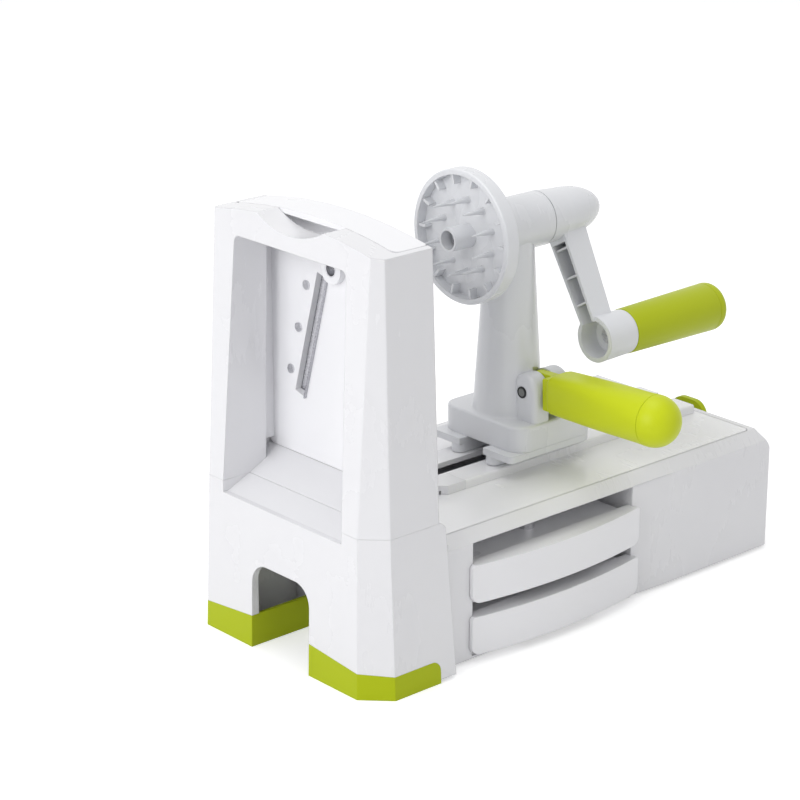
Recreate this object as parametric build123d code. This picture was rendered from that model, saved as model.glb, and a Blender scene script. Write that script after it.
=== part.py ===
"""Hand-cranked spiralizer: a long base with a cutting tower, a sliding carriage and a crank.

All sizes are in millimetres. While the pieces are built, X runs from the tower's front seam to the
rear, Y across (the stored blade trays are on the -Y side) and Z up from the table. At the end every
piece is moved together, so that the origin is under the middle of the whole object.
"""

from build123d import *
import math
import os

# ---- Fits and clearances -------------------------------------------------------------------------
loose_gap = 0.3        # between pieces that are slid or lifted past each other
running_gap = 0.06     # radial, between a pin or shaft and what turns on it
fixed_gap = 0.02       # radial, between a pin or bush and what holds it still
panel_gap = 0.4        # visible parting line around the deck panel
cut_over = 1.0         # how far a cut runs past the face that it opens
near = 0.02            # two lengths this close count as equal

# ---- Main sizes ----------------------------------------------------------------------------------
seam_height = 89.0            # where the tower sits on the foot block
tower_height = 154.0          # from the seam to the middle of the arched top
sill_rise = 10.7              # from the seam to the sill that the fitted tray stands on
band_proud = 8.8              # how far a stored tray's band stands out of the base's side
tail_gap = 1.7                # behind a stored tray, inside the far wall
base_wall = 2.5
tower_crown_height = seam_height + tower_height
sill_height = seam_height + sill_rise
tray_length = tower_crown_height - sill_height - loose_gap
base_half_width = (tray_length - band_proud + tail_gap + base_wall) / 2
tray_front_y = -base_half_width - band_proud    # crown of a stored tray's band

# ---- Tower ---------------------------------------------------------------------------------------
tower_side_drop = 7.0         # from the crown down to where the side walls meet the arched top
tower_side_height = tower_crown_height - tower_side_drop
seam_half_width = base_half_width + 4.4
tower_top_half_width = seam_half_width - 6.0
seam_chamfer = 12.0
tower_top_chamfer = 5.2
tower_front_lean = 8.6        # the front leans back this far at the side height
tower_depth = 45.5
tower_wall = 3.0
tower_edge_radius = 1.2
seat_corner_radius = 3.0      # inner corners of the band's seat
window_low_half_width = seam_half_width - 24.4
window_top_half_width = tower_top_half_width - 22.6
window_top_height = tower_crown_height - 17.0
window_corner_radius = 4.0
window_wall = 2.5
scoop_half_width = 29.0       # finger scoop in the top edge
scoop_depth = 8.4
sill_slope_length = 32.0      # chute slope in front of the tray's sill
tower_screw_places = ((24.0, seam_half_width - 18.1), (36.0, seam_half_width - 10.8))
tower_boss_radius = 4.2
tower_boss_height = 16.0

# ---- Foot block and shoes ------------------------------------------------------------------------
foot_half_width = seam_half_width + 4.1    # at the table
foot_front = -2.4
foot_chamfer = 14.3
foot_rear = 55.0
block_rear = 50.0             # rear of the foot block at the seam
block_rear_radius = 5.0
front_panel_height = seam_height - 6.5     # sill that the strands fall over
arch_half_width = 24.0
arch_height = 50.0
arch_corner_radius = 12.0
foot_wall = 3.0
foot_floor = 6.0
shoe_thickness = 2.4
shoe_front_height = 18.4      # top edge of the shoe beside the arch
shoe_side_height = 13.2       # top edge of the shoe on the outer side
shoe_rear = 44.0
shoe_rear_radius = 6.0

# ---- Base ----------------------------------------------------------------------------------------
base_clearance = 2.0          # housing's underside above the table
band_half_length = tower_top_half_width - 3.8    # half of a tray's curved handle band
bay_half_width = band_half_length - 2.3
bay_front = block_rear + 24.0
tray_centre_x = bay_front + bay_half_width
bay_rear = tray_centre_x + bay_half_width
bay_sill = 1.5
well_radius = 41.0            # room for the suction cup
cup_x = bay_rear + well_radius + 18.0
base_rear = cup_x + 58.4
deck_height = seam_height - 13.0
deck_half_width = base_half_width - 5.6
deck_front = block_rear + 2.0
deck_rear = base_rear - 14.4
deck_thickness = 3.0
deck_flange = 2.4
rim_side_height = deck_height - 7.2
rear_chamfer_start = base_rear - 10.8
rear_chamfer_height = deck_height - 15.6
rear_corner_radius = 4.0
facet_depth = 1.3             # the wall behind the tray bay is set back this far
facet_low_end = bay_rear + 24.0
facet_high_end = bay_rear + 34.8
cover_thickness = 2.4
cover_screw_rows = (bay_front - 9.5, bay_rear + 9.0, base_rear - 7.4)
cover_post_radius = 4.0
cover_post_height = 26.0
cover_post_sink = 0.8         # how far a post is sunk into the side wall
rear_foot_radius = 7.0
rear_foot_places = ((base_rear - 18.4, 16.2 - base_half_width), (base_rear - 18.4, base_half_width - 16.2))
rear_foot_plug_radius = 3.0

# ---- Guide track on the deck ---------------------------------------------------------------------
track_half_width = 22.6
track_height = deck_height + 5.0
track_front = 112.0
track_plate = 3.0
track_wall = 3.0
slot_half_width = 6.2
slot_front = 95.5
slot_rear = deck_rear - track_wall
stop_front = 92.0
stop_corner = 7.0

# ---- Blade trays ---------------------------------------------------------------------------------
tray_half_width = band_half_length - 6.6
tray_tail_radius = 4.0
tray_plate = 4.0
tray_plate_set = 15.5         # plate's inner face, measured across the band
tray_rib_set = 6.5
tray_rib_width = 4.0
band_width = 22.0             # the curved handle band
band_wall = 2.6
band_depth = 13.0             # from the crown of the band to its inner edge
band_lip = 1.0                # lip over the opening in the band's front wall
band_corner_radius = 5.0
band_rear_corner_radius = 2.0
core_setback = 31.5           # core tube's axis behind the band's crown
core_ring_radius = 8.0
core_ring_set = 12.0
core_tube_radius = 4.2
core_tube_bore = 3.5
core_tube_rise = 9.5
blade_lean = 15.4             # degrees from the tray's long axis
blade_offset = 5.5            # cutting edge to the core axis
blade_width = 17.5
blade_bend = 8.5              # the sloping part of the blade
blade_inner = 8.0
blade_outer = 84.0
blade_thickness = 0.9
blade_rise = 2.6
blade_edge = 0.1
throat_inner = 9.0            # slot under the blade that the strands pass through
throat_outer = 82.0
throat_near = 3.5
throat_far = 13.0
comb_thickness = 0.8
comb_root = 5.5
comb_height = 4.5
comb_tooth = 6.0
fine_pitch = 6.0
coarse_pitch = 12.0
rivet_places = (20.0, 46.0, 72.0)
rivet_offset = 19.0
rivet_radius = 1.4
rivet_head_radius = 2.6
rivet_head_height = 0.8
upper_tray_z = 35.0
lower_tray_z = 5.0
ledge_thickness = 2.2
ledge_reach = 8.3

# ---- Carriage ------------------------------------------------------------------------------------
carriage_front = 143.0
carriage_rear = 203.0
carriage_half_width = 32.0
carriage_block_height = 14.8    # above the slider
carriage_corner_radius = 10.0
carriage_edge_radius = 1.5
carriage_wall = 2.5
slider_front = 137.0
slider_plate = 3.9
slider_corner_radius = 3.0
runner_height = 5.0
runner_inner = 9.5
runner_width = 9.0
notch_length = 13.0
stem_half_width = 5.8
stem_front = 166.0
stem_rear = 196.0
keeper_half_width = 16.0
keeper_thickness = 3.7
keeper_screw_inset = 7.0
carriage_screw_inset = 7.5
carriage_boss_radius = 4.0
column_x = 164.7
column_foot_radius = 19.6
column_taper = 0.0615         # radius lost per millimetre of height
column_wall = 3.0
column_fillet = 2.0
barrel_front = 140.0
barrel_rear = 185.2
barrel_radius = 15.5
bush_radius = 9.0
bush_length = 12.0
bush_flange_radius = 10.6
bush_flange = 1.2

# ---- Crank ---------------------------------------------------------------------------------------
crank_rest_angle = 30.0       # from straight down towards the near side
crank_radius = 74.0
shaft_radius = 4.0
shaft_front = 126.0
shaft_rear = 221.0
hub_front = 185.7
hub_rear = 231.7
hub_radius = 15.5
hub_nose_start = 202.0
hub_nose_radius = 14.3
arm_front = 194.5
arm_root_depth = 18.0
arm_tip_depth = 14.0
arm_root_half_width = 7.1
arm_tip_half_width = 5.4
arm_wall = 1.7
arm_rib_places = (20.5, 37.0, 53.0)
arm_rib_thickness = 1.2
boss_front = 195.5
boss_rear = 217.6
boss_radius = 13.2
boss_rear_radius = 12.6
boss_pocket_radius = 10.6
boss_pocket_depth = 12.0
spindle_radius = 3.4
spindle_head_radius = 4.6
spindle_head_height = 1.6
grip_radius = 12.9
grip_end_radius = 14.1
grip_length = 67.2
grip_cap_length = 7.5
grip_cap_edge = 5.0

# ---- Food holder ---------------------------------------------------------------------------------
holder_front = 127.0
holder_rear = 136.0
holder_radius = 37.5
holder_rim = 3.2
holder_plate = 3.0
holder_edge_radius = 1.0
fin_count = 14
fin_reach = 5.4
fin_thickness = 1.6
spike_count = 10
spike_circle_radius = 20.0
spike_radius = 2.0
spike_tip_radius = 0.3
spike_front = 118.0
holder_tube_radius = 6.6
holder_tube_bore = 5.3
holder_boss_radius = 9.0
washer_radius = 8.0
washer_thickness = 1.0
washer_gap = 0.3

# ---- Push handle ---------------------------------------------------------------------------------
handle_x = 170.0
pivot_y = -21.0
pivot_rise = 16.5             # of the hinge pin above the block
handle_pitch = 2.2            # degrees above level
handle_neck = 11.0            # from the pivot to the neck in front of the lugs
handle_neck_half = 9.6
handle_root = 15.0            # from the pivot to the grip's root
handle_root_radius = 14.0
handle_root_half = 11.2       # flats on the root's four sides run out towards the seam
handle_root_edge = 1.5
handle_seam = 86.0            # from the pivot to the cap's seam
handle_seam_radius = 14.4
handle_fold_limit = 50.0      # room is left for folding up this far
handle_end = 101.2
handle_dome = 14.5
handle_cavity_radius = 8.5
handle_plug = 12.0            # how far the cap's plug goes into the handle
lug_radius = 10.0
lug_thickness = 11.0
lug_edge_radius = 3.2
pocket_wall = 2.4             # behind the tongue's pocket in the column
tongue_radius = 9.3
tongue_thickness = 6.2
handle_pin_radius = 2.5
pin_head_radius = 3.3
pin_head_height = 0.6

# ---- Suction foot --------------------------------------------------------------------------------
cup_radius = 38.0
cup_contact = 3.5
cup_lip = 1.8
cup_crown_height = 12.5
cup_shoulder_height = 15.0
cup_boss_radius = 9.0
cup_boss_height = 19.0
well_roof_height = 27.0
well_wall = 2.4
rod_radius = 5.0
rod_top = 29.0
fork_floor = 33.0
yoke_length = 8.0
yoke_half_width = 7.5
yoke_top = 46.0
lever_pivot_offset = 9.0      # lever's pin behind the rod's axis
lever_pivot_z = 40.0
lever_half_thickness = 4.0
lever_hub_radius = 4.6
lever_eye_radius = 5.0
lever_arm_half_height = 3.6
lever_arm_end_z = rear_chamfer_height - 4.4
lever_tab_front = base_rear + 1.6
lever_tab_thickness = 3.6
lever_tab_half_width = 13.0
lever_tab_low = rear_chamfer_height - 8.4
lever_tab_top = rear_chamfer_height + 14.1
lever_tab_radius = 9.0
lever_slot_half_width = 4.8
lever_slot_low = 20.0
lever_slot_extra = 4.0
cheek_thickness = 3.0
cheek_radius = 7.5
lever_pin_radius = 2.5
follower_pin_radius = 2.0
follower_gap = 0.5
follower_play = 1.2

# ---- Screws --------------------------------------------------------------------------------------
screw_radius = 1.5
screw_head_radius = 3.0
screw_head_height = 1.4
screw_pocket_gap = 0.3

# ---- Sizes worked out from the ones above --------------------------------------------------------
arch_radius = (tower_top_half_width**2 + tower_side_drop**2) / (2 * tower_side_drop)
tower_rise = tower_side_height - seam_height
tower_top = tower_crown_height + cut_over
crank_axis_z = tower_crown_height - core_setback
band_front_x = tower_depth - band_width
plate_front_x = band_front_x + tray_plate_set
groove_front_x = band_front_x + tray_rib_set - loose_gap
groove_rear_x = plate_front_x + tray_plate + loose_gap
groove_half = tray_half_width + loose_gap
plate_face = tray_plate_set + tray_plate
slope_end_x = block_rear - sill_slope_length
inner_half = base_half_width - base_wall
deck_underside = deck_height - deck_thickness
band_shoulder = band_proud - loose_gap
band_neck = bay_half_width - loose_gap
runner_low = track_height + loose_gap
slider_low = runner_low + runner_height
slider_top = slider_low + slider_plate
carriage_top = slider_top + carriage_block_height
pivot_z = carriage_top + pivot_rise
track_underside = track_height - track_plate
keeper_top = track_underside - panel_gap
keeper_low = keeper_top - keeper_thickness
track_inner_half = track_half_width - track_wall
bush_bore = shaft_radius + running_gap
lever_pivot_x = cup_x + lever_pivot_offset
boss_back = boss_front + boss_pocket_depth
grip_front = boss_rear + loose_gap
grip_seam = grip_front + grip_length


# ---- Small helpers -------------------------------------------------------------------------------
def box(x0, x1, y0, y1, z0, z1):
    """A box between two corners."""
    return Pos((x0 + x1) / 2, (y0 + y1) / 2, (z0 + z1) / 2) * Box(x1 - x0, y1 - y0, z1 - z0)


def slab_x(points, x0, x1):
    """An outline in Y and Z, drawn out from x0 to x1."""
    face = make_face(Polyline(*[(x0, y, z) for y, z in points], close=True))
    return extrude(face, amount=x1 - x0, dir=(1, 0, 0))


def slab_y(points, y0, y1):
    """An outline in X and Z, drawn out from y0 to y1."""
    face = make_face(Polyline(*[(x, y0, z) for x, z in points], close=True))
    return extrude(face, amount=y1 - y0, dir=(0, 1, 0))


def slab_z(points, z0, z1):
    """An outline in X and Y, drawn out from z0 to z1."""
    face = make_face(Polyline(*[(x, y, z0) for x, y in points], close=True))
    return extrude(face, amount=z1 - z0, dir=(0, 0, 1))


def ruled_between(low_points, z0, high_points, z1):
    """A straight-sided block between two outlines at two heights."""
    low = make_face(Polyline(*[(x, y, z0) for x, y in low_points], close=True))
    high = make_face(Polyline(*[(x, y, z1) for x, y in high_points], close=True))
    return loft([low, high], ruled=True)


def rod_x(x0, x1, y, z, radius):
    """A cylinder along X."""
    return Pos((x0 + x1) / 2, y, z) * Rot(0, 90, 0) * Cylinder(radius, x1 - x0)


def rod_y(y0, y1, x, z, radius):
    """A cylinder along Y."""
    return Pos(x, (y0 + y1) / 2, z) * Rot(90, 0, 0) * Cylinder(radius, y1 - y0)


def rod_z(z0, z1, x, y, radius):
    """A cylinder along Z."""
    return Pos(x, y, (z0 + z1) / 2) * Cylinder(radius, z1 - z0)


def cone_x(x0, x1, y, z, front_radius, rear_radius):
    """A cone frustum along X."""
    return Pos((x0 + x1) / 2, y, z) * Rot(0, 90, 0) * Cone(front_radius, rear_radius, x1 - x0)


def cone_z(z0, z1, x, y, low_radius, high_radius):
    """A cone frustum along Z."""
    return Pos(x, y, (z0 + z1) / 2) * Cone(low_radius, high_radius, z1 - z0)


def turned_x(outline, z):
    """A turned piece about a line along X at height z; the outline gives distance along X and radius."""
    face = make_face(outline)
    return Pos(0, 0, z) * revolve(face, axis=Axis.X)


def mirrored(solid):
    """The same solid on the other side of the middle plane."""
    return mirror(solid, about=Plane.XZ)


def rounded_box(x0, x1, half_width, z0, z1, radius):
    """A box about the middle plane with rounded upright edges."""
    block = box(x0, x1, -half_width, half_width, z0, z1)
    return fillet(block.edges().filter_by(Axis.Z), radius)


def arch_drop(y):
    """How far the arched top lies below its crown at y."""
    return arch_radius - math.sqrt(arch_radius**2 - y**2)


def screw_z(z0, z1, x, y, head_up):
    """An upright screw; its head is at z1 if head_up is true and otherwise at z0."""
    shank = rod_z(z0, z1, x, y, screw_radius)
    if head_up:
        return shank + rod_z(z1 - screw_head_height, z1, x, y, screw_head_radius)
    return shank + rod_z(z0, z0 + screw_head_height, x, y, screw_head_radius)


# ---- Tower ---------------------------------------------------------------------------------------
def tower_plan(height, inset):
    """Plan of the tower's skin at a height, moved inwards: its front, half width and corner cut."""
    share = (height - seam_height) / tower_rise
    front = tower_front_lean * share + inset
    half = seam_half_width + (tower_top_half_width - seam_half_width) * share - inset
    cut = seam_chamfer + (tower_top_chamfer - seam_chamfer) * share
    return front, half, cut


def tower_skin():
    """Outer form of the tower, with its sloping cut corners and its arched top."""
    plans = []
    for height in (seam_height, tower_top):
        front, half, cut = tower_plan(height, 0)
        plans.append([(front, half - cut), (front + cut, half), (tower_depth, half),
                      (tower_depth, -half), (front + cut, -half), (front, cut - half)])
    skin = ruled_between(plans[0], seam_height, plans[1], tower_top)
    corners = [e for e in skin.edges()
               if e.length > tower_rise and e.center().X < tower_depth - cut_over]
    skin = fillet(corners, tower_edge_radius)
    side = tower_crown_height - arch_drop(seam_half_width)
    low = seam_height - cut_over
    outline = [Line((0, -seam_half_width, low), (0, seam_half_width, low)),
               Line((0, seam_half_width, low), (0, seam_half_width, side)),
               ThreePointArc((0, seam_half_width, side), (0, 0, tower_crown_height),
                             (0, -seam_half_width, side)),
               Line((0, -seam_half_width, side), (0, -seam_half_width, low))]
    return skin & extrude(make_face(outline), amount=tower_depth, dir=(1, 0, 0))


def pillar_pocket():
    """Hollow of one side pillar, open at the bottom."""
    low, high = seam_height - cut_over, window_top_height
    plans = []
    for height, window_half in ((low, window_low_half_width), (high, window_top_half_width)):
        front, half, cut = tower_plan(height, tower_wall)
        inner = window_half + window_wall
        step = groove_front_x - window_wall
        plans.append([(front, inner), (step, inner), (step, groove_half + window_wall),
                      (tower_depth - tower_wall, groove_half + window_wall),
                      (tower_depth - tower_wall, half), (front + cut, half), (front, half - cut)])
    return ruled_between(plans[0], low, plans[1], high)


def make_tower():
    """Portal frame with a window, tray grooves, an arched top and a finger scoop."""
    tower = tower_skin()

    # Window through the front, narrower towards the top, with rounded upper corners.
    window = slab_x([(-window_low_half_width, seam_height - cut_over),
                     (window_low_half_width, seam_height - cut_over),
                     (window_top_half_width, window_top_height),
                     (-window_top_half_width, window_top_height)], -cut_over, plate_front_x)
    tower -= fillet(window.edges().filter_by(Axis.X).group_by(Axis.Z)[-1], window_corner_radius)

    # Groove for the tray's plate and ribs, the opening on the food's side and the band's seat.
    open_half = tray_half_width - tray_rib_width
    seat_half = band_half_length + loose_gap
    seat_floor = tower_crown_height - band_depth - loose_gap
    low = seam_height - cut_over
    tower -= box(groove_front_x, groove_rear_x, -groove_half, groove_half, low, tower_top)
    tower -= box(groove_rear_x - cut_over, tower_depth + cut_over, -open_half, open_half, low, tower_top)
    seat = box(band_front_x - loose_gap, tower_depth + band_corner_radius, -seat_half, seat_half,
               seat_floor, tower_top)
    tower -= fillet(seat.edges().filter_by(Axis.Z).group_by(Axis.X)[0], seat_corner_radius)

    pocket = pillar_pocket()
    tower -= pocket
    tower -= mirrored(pocket)

    # Sill bar that the fitted tray stands on, with a slope towards the window.
    tower += slab_y([(slope_end_x, seam_height), (tower_depth, seam_height),
                     (tower_depth, sill_height), (plate_front_x, sill_height)],
                    -groove_half, groove_half)

    # Finger scoop in the front top edge.
    scoop_radius = (scoop_half_width**2 + scoop_depth**2) / (2 * scoop_depth)
    scoop_axis = tower_crown_height - scoop_depth + scoop_radius
    tower -= rod_x(-cut_over, band_front_x, 0, scoop_axis, scoop_radius)

    # Screw bosses in the pillars.
    for x, y in tower_screw_places:
        for side in (-1, 1):
            boss = rod_z(seam_height, seam_height + tower_boss_height, x, side * y, tower_boss_radius)
            tower += boss
            tower -= rod_z(low, seam_height + tower_boss_height, x, side * y, screw_radius)
    return tower.solid()


# ---- Foot block, base housing and shoes ----------------------------------------------------------
def foot_block(inset):
    """The flared block under the tower, moved inwards by inset."""
    low = [(foot_front + inset, foot_half_width - foot_chamfer - inset / 2),
           (foot_front + foot_chamfer + inset / 2, foot_half_width - inset),
           (foot_rear - inset, foot_half_width - inset)]
    high = [(inset, seam_half_width - seam_chamfer - inset / 2),
            (seam_chamfer + inset / 2, seam_half_width - inset),
            (block_rear - inset, seam_half_width - inset)]
    low += [(x, -y) for x, y in reversed(low)]
    high += [(x, -y) for x, y in reversed(high)]
    return ruled_between(low, 0, high, seam_height)


def make_shoe(side):
    """Soft shoe: a shallow cup round the sole, front and sides of a front foot; side is -1 or 1."""
    reach = foot_half_width + cut_over
    inner = side * arch_half_width
    outer = side * reach
    zone = slab_x([(inner, 0), (inner, shoe_front_height), (outer, shoe_side_height), (outer, 0)],
                  foot_front - cut_over, shoe_rear)
    upper_rear = zone.edges().filter_by(lambda e: e.center().X > shoe_rear - cut_over
                                        and e.center().Z > shoe_side_height / 2
                                        and arch_half_width + shoe_rear_radius < abs(e.center().Y)
                                        < reach - shoe_rear_radius)
    zone = fillet(upper_rear, shoe_rear_radius)
    core = foot_block(shoe_thickness) & box(foot_front, foot_rear, -reach, reach, shoe_thickness,
                                            seam_height)
    inside = [side * (arch_half_width + shoe_thickness), outer]
    core &= box(foot_front, foot_rear, min(inside), max(inside), 0, seam_height)
    return ((foot_block(0) & zone) - core).solid()


def housing_skin():
    """Outer form of the long base, with its sloping rims."""
    front = block_rear - foot_wall
    across = slab_x([(-base_half_width, base_clearance), (base_half_width, base_clearance),
                     (base_half_width, rim_side_height), (deck_half_width, deck_height),
                     (-deck_half_width, deck_height), (-base_half_width, rim_side_height)],
                    front, base_rear)
    along = slab_y([(front, base_clearance), (base_rear, base_clearance),
                    (base_rear, rear_chamfer_height), (rear_chamfer_start, deck_height),
                    (front, deck_height)], -base_half_width, base_half_width)
    upright = across.edges().filter_by(Axis.Z).group_by(Axis.X)[-1]
    return fillet(upright, rear_corner_radius) & along


def base_room():
    """Room inside the long base, open at the bottom and at the deck, without the bay's walls."""
    front = block_rear + foot_wall
    rear = base_rear - base_wall
    shoulder = deck_underside - panel_gap
    open_half = deck_half_width - deck_flange
    across = [(-inner_half, 0), (inner_half, 0), (inner_half, rim_side_height - base_wall / 2),
              (open_half, shoulder), (open_half, deck_height + cut_over),
              (-open_half, deck_height + cut_over), (-open_half, shoulder),
              (-inner_half, rim_side_height - base_wall / 2)]
    flange_x = deck_rear - deck_flange
    along = [(front, 0), (rear, 0), (rear, rear_chamfer_height - base_wall / 2),
             (flange_x, shoulder), (flange_x, deck_height + cut_over), (front, deck_height + cut_over)]
    room = slab_x(across, front, rear) & slab_y(along, -base_half_width, base_half_width)
    low = base_clearance + cover_thickness
    for x in (bay_front - base_wall, bay_rear):
        room -= box(x, x + base_wall, -base_half_width, base_half_width, low, deck_underside)
    return room


def foot_side_pocket():
    """Hollow of one side of the foot block, open towards the tower."""
    side_inner = window_low_half_width + window_wall
    plans = []
    for front, half, cut, rear in (
            (foot_front + 2 * foot_wall, foot_half_width - foot_wall, foot_chamfer, foot_rear),
            (foot_wall, seam_half_width - foot_wall, seam_chamfer, block_rear)):
        rear_face = rear - 2 * foot_wall
        plans.append([(front, side_inner), (front, half - cut), (front + cut, half),
                      (rear_face, half), (rear_face, side_inner)])
    return ruled_between(plans[0], foot_floor, plans[1], seam_height + cut_over)


def cover_screw_places():
    """Where the bottom cover is screwed to the housing."""
    edge = inner_half - cover_post_radius + cover_post_sink
    return [(x, side * edge) for x in cover_screw_rows for side in (-1, 1)]


def make_housing():
    """Base housing in one moulding with the foot block, the tray bay and its ledges."""
    foot = foot_block(0)
    foot -= box(shoe_rear, foot_rear, -foot_half_width, foot_half_width, 0, base_clearance)
    rear_top = foot.edges().filter_by(Axis.Y).group_by(Axis.Z)[-1].sort_by(Axis.X)[-1]
    foot = fillet(rear_top, block_rear_radius)
    blend_front = block_rear - foot_wall
    wedge = slab_z([(blend_front, base_half_width), (blend_front, seam_half_width),
                    (block_rear, seam_half_width), (block_rear + 2 * foot_wall, base_half_width)],
                   base_clearance, deck_underside)
    housing = foot + housing_skin() + wedge + mirrored(wedge)

    # Chute: the strands slide forwards over the front panel's top edge.
    above = seam_height + cut_over
    housing -= slab_y([(foot_front, front_panel_height), (foot_front, above), (foot_rear, above),
                       (foot_rear, seam_height), (slope_end_x, seam_height),
                       (foot_wall, front_panel_height)],
                      -window_low_half_width, window_low_half_width)

    # Hollow under the chute, and the arch between the feet.
    inner = window_low_half_width - foot_wall
    rear_face = block_rear - foot_wall
    housing -= slab_y([(foot_wall, foot_floor), (rear_face, foot_floor),
                       (rear_face, deck_underside), (slope_end_x, seam_height - foot_wall),
                       (foot_wall, front_panel_height - foot_wall)], -inner, inner)
    arch = box(foot_front - cut_over, rear_face, -arch_half_width, arch_half_width, -cut_over, arch_height)
    housing -= fillet(arch.edges().filter_by(Axis.X).group_by(Axis.Z)[-1], arch_corner_radius)
    pocket = foot_side_pocket()
    housing -= pocket
    housing -= mirrored(pocket)
    housing -= base_room()

    # Rebate for the deck panel.
    rebate = box(deck_front, deck_rear, -deck_half_width, deck_half_width, deck_underside,
                 deck_height + cut_over)
    housing -= fillet(rebate.edges().filter_by(Axis.Z).group_by(Axis.X)[-1], rear_corner_radius)

    # Opening of the tray bay, and the set-back facet of the wall behind it.
    beyond = base_half_width + cut_over
    housing -= box(bay_front, bay_rear, -beyond, -inner_half + cut_over, base_clearance + bay_sill,
                   rim_side_height)
    start = bay_rear - cut_over
    set_back = facet_depth - base_half_width
    facets = [[(start, -beyond), (start, set_back), (end, -base_half_width), (end, -beyond)]
              for end in (facet_low_end, facet_high_end)]
    housing -= ruled_between(facets[0], base_clearance, facets[1], rim_side_height)

    # Ledges that carry the stored trays.
    for tray_z in (lower_tray_z, upper_tray_z):
        top = tray_z + tray_rib_set - loose_gap
        for x0, x1 in ((bay_front - cut_over, bay_front + ledge_reach),
                       (bay_rear - ledge_reach, bay_rear + cut_over)):
            housing += box(x0, x1, tray_front_y + band_depth + loose_gap, inner_half + cut_over,
                           top - ledge_thickness, top)

    # Slot in the rear wall for the suction lever.
    housing -= box(base_rear - base_wall - cut_over, base_rear + cut_over, -lever_slot_half_width,
                   lever_slot_half_width, lever_slot_low, rear_chamfer_height + lever_slot_extra)

    # Posts for the cover screws and for the screws that hold the tower.
    low = base_clearance + cover_thickness
    for x, y in cover_screw_places():
        housing += rod_z(low, cover_post_height, x, y, cover_post_radius)
        housing -= rod_z(low, cover_post_height, x, y, screw_radius)
    for x, y in tower_screw_places:
        for side in (-1, 1):
            housing += rod_z(foot_floor, seam_height, x, side * y, tower_boss_radius)
            shelf = seam_height - 2 * tower_boss_radius
            housing -= rod_z(0, shelf, x, side * y, screw_head_radius + screw_pocket_gap)
            housing -= rod_z(0, seam_height, x, side * y, screw_radius + screw_pocket_gap)
    for side in (-1, 1):
        housing -= make_shoe(side)
        housing -= box(foot_front, shoe_rear, min(side * arch_half_width, side * foot_half_width),
                       max(side * arch_half_width, side * foot_half_width), -cut_over, shoe_thickness)
    return housing.solid()


def make_tower_screws():
    """Four screws that hold the tower from below, inside the foot block's posts."""
    shelf = seam_height - 2 * tower_boss_radius
    top = seam_height + tower_boss_height
    return [screw_z(shelf - screw_head_height, top - cut_over, x, side * y, False)
            for x, y in tower_screw_places for side in (-1, 1)]


def make_deck():
    """Deck panel with the raised guide track and its slot."""
    half = deck_half_width - panel_gap
    panel = box(deck_front + panel_gap, deck_rear - panel_gap, -half, half, deck_underside, deck_height)
    panel = fillet(panel.edges().filter_by(Axis.Z).group_by(Axis.X)[-1], rear_corner_radius - panel_gap)
    track = box(track_front, deck_rear - panel_gap - track_wall, -track_half_width, track_half_width,
                deck_underside, track_height)
    panel += fillet(track.edges().filter_by(Axis.X).group_by(Axis.Z)[-1], tower_edge_radius)
    panel -= box(slot_front, slot_rear, -track_inner_half, track_inner_half,
                 deck_underside - cut_over, track_underside)
    panel -= box(slot_front, slot_rear, -slot_half_width, slot_half_width, deck_underside - cut_over,
                 track_height + cut_over)
    return panel.solid()


def make_front_stop():
    """Light cap at the track's front end, with cut corners, a hollow and the slot's front end."""
    half = track_half_width
    outline = [(stop_front, stop_corner - half), (stop_front + stop_corner, -half),
               (track_front, -half), (track_front, half), (stop_front + stop_corner, half),
               (stop_front, half - stop_corner)]
    block = slab_z(outline, deck_height, track_height)
    block -= box(slot_front, track_front, -track_inner_half, track_inner_half, deck_height,
                 track_underside)
    block -= box(slot_front, track_front, -slot_half_width, slot_half_width, deck_height,
                 track_height)
    return block.solid()


def make_bottom_cover():
    """Bottom cover with the domed well of the suction cup and the lever's two cheeks."""
    half = inner_half - panel_gap
    top = base_clearance + cover_thickness
    cover = box(block_rear + foot_wall + panel_gap, base_rear - base_wall - panel_gap, -half, half,
                base_clearance, top)
    cover += rod_z(base_clearance, well_roof_height, cup_x, 0, well_radius + well_wall)
    cover -= rod_z(0, well_roof_height - well_wall, cup_x, 0, well_radius)
    for side in (-1, 1):
        faces = sorted(side * y for y in (yoke_half_width + loose_gap,
                                          yoke_half_width + loose_gap + cheek_thickness))
        cover += box(lever_pivot_x - cheek_radius, lever_pivot_x + cheek_radius, faces[0], faces[1],
                     well_roof_height - well_wall, lever_pivot_z)
        cover += rod_y(faces[0], faces[1], lever_pivot_x, lever_pivot_z, cheek_radius)
    reach = yoke_half_width + loose_gap + cheek_thickness
    cover -= rod_y(-reach, reach, lever_pivot_x, lever_pivot_z, lever_pin_radius + fixed_gap)
    cover -= rod_z(0, well_roof_height, cup_x, 0, rod_radius + running_gap)
    pocket = base_clearance + screw_head_height
    for x, y in cover_screw_places():
        cover -= rod_z(base_clearance, top, x, y, screw_radius + fixed_gap)
        cover -= rod_z(base_clearance, pocket, x, y, screw_head_radius + screw_pocket_gap)
    for x, y in rear_foot_places:
        cover -= rod_z(base_clearance, top, x, y, rear_foot_plug_radius)
    return cover.solid()


def make_cover_screws():
    """Six screws that hold the bottom cover."""
    return [screw_z(base_clearance, cover_post_height - cut_over, x, y, False)
            for x, y in cover_screw_places()]


def make_rear_feet():
    """Two soft pads, each with a plug through the bottom cover."""
    top = base_clearance + cover_thickness
    return [rod_z(0, base_clearance, x, y, rear_foot_radius)
            + rod_z(0, top + base_clearance, x, y, rear_foot_plug_radius)
            for x, y in rear_foot_places]


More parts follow.
